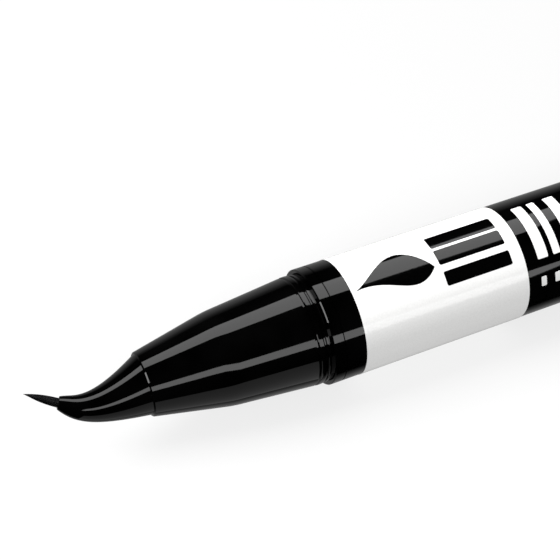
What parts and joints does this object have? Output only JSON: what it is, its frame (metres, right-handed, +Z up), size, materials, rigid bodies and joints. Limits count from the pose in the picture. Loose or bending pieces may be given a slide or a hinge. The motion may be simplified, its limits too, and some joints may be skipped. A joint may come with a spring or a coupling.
{
  "type": "calligraphy marker",
  "caption": "Brush-tip calligraphy marker with a curved nozzle, tapered grip, printed barrel and a clip cap posted on its rear end.",
  "frame": {"origin": "centre of the barrel's front rim, on the marker's axis, where the grip section seats", "axes": "+X along the marker's axis from the brush towards the rear; +Z up with the marker lying on its cap and the clip's edge"},
  "size_m": [0.1703, 0.0169, 0.0158],
  "materials": {
    "gloss_black": "injection-moulded polypropylene, polished mould",
    "filament": "tapered nylon filaments wet with black ink",
    "wick_fibre": "bonded acrylic fibre",
    "natural_plastic": "natural polypropylene",
    "reservoir_fibre": "bundled polyester fibre",
    "film": "clear wrapping film"
  },
  "bodies": {
    "pen": {"brush_root": "filament", "nozzle": "gloss_black", "feed_wick": "wick_fibre", "wick_sleeve": "natural_plastic", "grip_section": "gloss_black", "barrel": "gloss_black", "reservoir_core": "reservoir_fibre", "reservoir_wrap": "film", "end_plug": "gloss_black"},
    "brush": {"brush_tuft": "filament"},
    "cap": {"cap_shell": "gloss_black", "cap_liner": "natural_plastic", "cap_disc": "gloss_black", "clip": "gloss_black"}
  },
  "joints": [
    {"name": "cap_pull", "type": "slide", "parent": "pen", "child": "cap", "axis": [1, 0, 0], "range_m": [0, 0.02]},
    {"name": "brush_flex", "type": "hinge", "parent": "pen", "child": "brush", "pos_m": [-0.03171, 0.00095, 0.00079], "axis": [0, 0.6356, -0.772], "range_deg": [-20, 20], "stiffness_Nm_per_rad": 0.00027}
  ]
}
